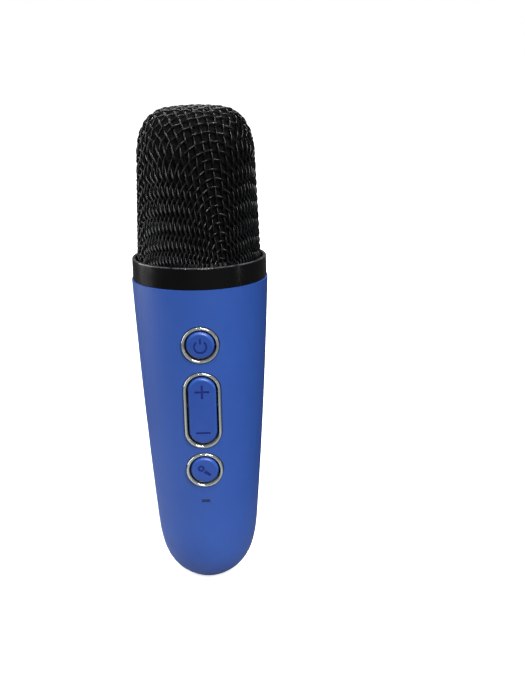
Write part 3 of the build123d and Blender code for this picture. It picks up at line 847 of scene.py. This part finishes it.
def cellMarks(tree, shader, colour, rough, height):
    # a shrunk sleeve: bare steel at both ends, a lengthwise seam and faint wrinkles near the ends
    x, y, z = axes(tree, objectPlace(tree))
    low, high = (corner.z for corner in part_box("battery_cell"))

    def nearEnds(start, full):
        bottom = ramp(tree, z, low + start * mm, low + full * mm)
        return calc(tree, "MAXIMUM", bottom, ramp(tree, z, high - start * mm, high - full * mm))

    end = nearEnds(*sleeve["bareEnd"])
    seam = calc(tree, "MULTIPLY", nearPlane(tree, x, 0.0, sleeve["seamWide"] * mm), ramp(tree, y, 0.0, 1.0 * mm))
    folds = noise(tree, objectPlace(tree), sleeve["wrinkleScale"], 2.0)
    wrinkle = calc(tree, "MULTIPLY", nearEnds(*sleeve["wrinkledEnd"]), folds)
    colour = blendColour(tree, calc(tree, "MULTIPLY", seam, sleeve["seamShade"]), colour, sleeve["seamColour"])
    colour = blendColour(tree, end, colour, sleeve["steel"])
    tree.links.new(end, shader.inputs["Metallic"])
    return colour, rough, raised(tree, height, wrinkle, sleeve["wrinkleTall"])


secondLead = {"edge": 0.02, "colour": (0.012, 0.012, 0.012)}  # mm


def leadMarks(tree, shader, colour, rough, height):
    # the second conductor of each pair, on the other side of the middle, is black
    x, _, _ = axes(tree, objectPlace(tree))
    other = ramp(tree, x, secondLead["edge"] * mm, -secondLead["edge"] * mm)
    return blendColour(tree, other, colour, secondLead["colour"]), rough, height


brushing = {"stretch": (1.0, 1.0, 0.04), "scale": 5000.0, "rougher": 0.25, "tall": 0.004}


def steelMarks(tree, shader, colour, rough, height):
    # brushed along Z: a noise stretched thin
    stretch = tree.nodes.new("ShaderNodeMapping")
    stretch.inputs["Scale"].default_value = brushing["stretch"]
    connect(tree, stretch.inputs["Vector"], objectPlace(tree))
    brush = noise(tree, stretch.outputs[0], brushing["scale"], 2.0)
    uneven = calc(tree, "MULTIPLY", calc(tree, "SUBTRACT", brush, 0.5), brushing["rougher"])
    return colour, calc(tree, "ADD", rough, uneven), raised(tree, height, brush, brushing["tall"])


# wear and painted highlight: a pale band along the collar rim's top edge
rimWearAndHighlight = {
    "below": 0.05,  # mm under the rim's top
    "wide": 0.28,
    "shade": 0.5,
    "scale": 500.0,
    "patches": (0.3, 0.6),
    "colour": (0.16, 0.17, 0.18),
}


def collarMarks(tree, shader, colour, rough, height):
    # the rim's top edge is made a little pale in patches: partly wear, partly a painted highlight
    _, _, z = axes(tree, objectPlace(tree))
    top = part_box("collar_ring")[1].z
    edge = nearPlane(tree, z, top - rimWearAndHighlight["below"] * mm, rimWearAndHighlight["wide"] * mm)
    edge = calc(tree, "MULTIPLY", edge, rimWearAndHighlight["shade"])
    patches = ramp(tree, noise(tree, objectPlace(tree), rimWearAndHighlight["scale"], 3.0), *rimWearAndHighlight["patches"])
    wornAndHighlit = calc(tree, "MULTIPLY", edge, patches)
    return blendColour(tree, wornAndHighlit, colour, rimWearAndHighlight["colour"]), rough, height


slotFinish = {
    "handle_blue": finish("handleShell", 45.0, shellMarks),
    "bright_ring": finish("brightRing", 300.0),
    "collar_black": finish("collarGloss", 80.0, collarMarks),
    "mesh_black": finish("wireEnamel", 300.0, wireMarks),
    "plated_steel": finish("platedSteel", 200.0, steelMarks),
    "foam_black": finish("foamBlack", 200.0, foamMarks),
    "rubber_black": finish("bootRubber", 150.0),
    "black_plastic": finish("innerPlastic", 120.0),
    "board_green": finish("boardGreen", 90.0, boardMarks),
    "capsule_metal": finish("capsuleMetal", 200.0, capsuleMarks),
    "cell_wrap": finish("cellWrap", 60.0, cellMarks),
    "lead_red": finish("leadJacket", 150.0, leadMarks),
    "clear_guide": finish("lampGuide", 400.0),
    "lamp_white": finish("lampResin", 400.0),
    "connector_white": finish("plugNylon", 200.0),
}
for name, node in nodes.items():
    for slot in node.material_slots:
        if name in caps:
            slot.material = finish("capBlue", 160.0, capMarks(name))
        else:
            slot.material = slotFinish[slot.material.name.split(".")[0]]
for slotName, pieces in {"mesh_black": (warp, weft), "foam_black": (foamPiece, padPiece)}.items():
    for piece in pieces:
        piece.data.materials.append(slotFinish[slotName])


def floorFinish():
    # white to the camera; to the object a painted pool of light near the handle, painted dark further off
    paper = bpy.data.materials.new("paleFloor")
    paper.use_nodes = True
    tree = paper.node_tree
    shader = tree.nodes["Principled BSDF"]
    fibre = noise(tree, objectPlace(tree), 3.0, 3.0)
    seen = tree.nodes.new("ShaderNodeLightPath").outputs["Is Camera Ray"]
    white = blendColour(tree, fibre, *studio["floorPaper"])
    away = tree.nodes.new("ShaderNodeVectorMath")
    away.operation = "DISTANCE"
    tree.links.new(objectPlace(tree), away.inputs[0])
    away.inputs[1].default_value = studio["floorPoolCentre"]
    distance = ramp(tree, away.outputs["Value"], *studio["floorFade"])
    # painted light: a pale pool near the handle fading to dark, seen only by the object
    paintedFloorLight = blendColour(tree, distance, studio["floorPaintedPool"], studio["floorPaintedDark"])
    tree.links.new(blendColour(tree, seen, paintedFloorLight, white), shader.inputs["Base Color"])
    shader.inputs["Roughness"].default_value = studio["floorRough"]
    shader.inputs["Emission Color"].default_value = (1, 1, 1, 1)
    glow = ramp(tree, seen, 0.0, 1.0, studio["floorGlow"], studio["floorSeen"])
    tree.links.new(glow, shader.inputs["Emission Strength"])
    return paper


floor.data.materials.append(floorFinish())
print("finishes made")
